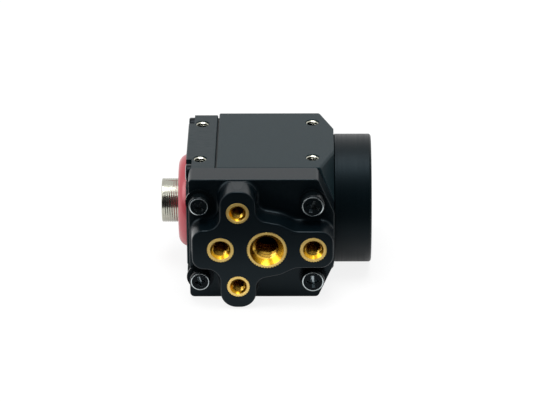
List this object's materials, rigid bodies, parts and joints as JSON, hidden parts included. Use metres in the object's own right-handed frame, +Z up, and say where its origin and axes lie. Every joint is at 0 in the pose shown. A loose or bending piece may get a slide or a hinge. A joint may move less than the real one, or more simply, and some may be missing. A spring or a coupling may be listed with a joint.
{
  "type": "machine vision camera",
  "caption": "Small cube industrial camera with a screw lens mount, a red domed connector cap behind and a tripod plate with threaded brass inserts on one side.",
  "frame": {"origin": "centre of the lens-mount flange, on the optical axis", "axes": "+X out of the lens opening along the optical axis, -Y out of the tripod plate, +Z up with the camera lying on its side"},
  "size_m": [0.0472, 0.0406, 0.029],
  "materials": {
    "black_anodised": "bead-blasted, black anodised",
    "mount_anodised": "turned, black anodised",
    "rear_anodised": "milled, black anodised",
    "red_anodised": "turned, red anodised",
    "nickel_plate": "nickel plated brass",
    "brass": "turned",
    "zinc_steel": "zinc plated",
    "black_steel": "black oxide",
    "moulded_plastic": "moulded, fine satin",
    "filter_glass": "coated, polished",
    "clear_glass": "polished",
    "ceramic": "fired ceramic",
    "silicon": "polished die",
    "circuit_board": "solder mask",
    "chip_plastic": "moulded",
    "link_plastic": "moulded",
    "insulator_plastic": "moulded",
    "gold_plate": "gold plated",
    "rubber": "plain"
  },
  "bodies": {
    "root": {"back_cap": "red_anodised", "board_screws": "zinc_steel", "connector_insulator": "insulator_plastic", "connector_pins": "gold_plate", "connector_ring": "nickel_plate", "connector_seal": "rubber", "connector_shell": "nickel_plate", "filter_glass": "filter_glass", "filter_seal": "rubber", "front_housing": "black_anodised", "front_link_plug": "link_plastic", "front_link_socket": "link_plastic", "front_standoffs": "zinc_steel", "housing_gasket": "rubber", "image_processor": "chip_plastic", "interface_board": "circuit_board", "lens_mount_ring": "mount_anodised", "m3_insert_lower": "brass", "m3_insert_upper": "brass", "m4_insert_front": "brass", "m4_insert_rear": "brass", "memory_chip_left": "chip_plastic", "memory_chip_right": "chip_plastic", "plate_screws": "black_steel", "plate_washers": "black_steel", "power_inductor_left": "chip_plastic", "power_inductor_right": "chip_plastic", "processor_board": "circuit_board", "rear_housing": "rear_anodised", "rear_link_plug": "link_plastic", "rear_link_socket": "link_plastic", "rear_screws": "black_steel", "rear_standoffs": "zinc_steel", "sensor_board": "circuit_board", "sensor_cover_glass": "clear_glass", "sensor_die": "silicon", "sensor_package": "ceramic", "tripod_insert": "brass", "tripod_plate": "moulded_plastic"}
  },
  "joints": []
}
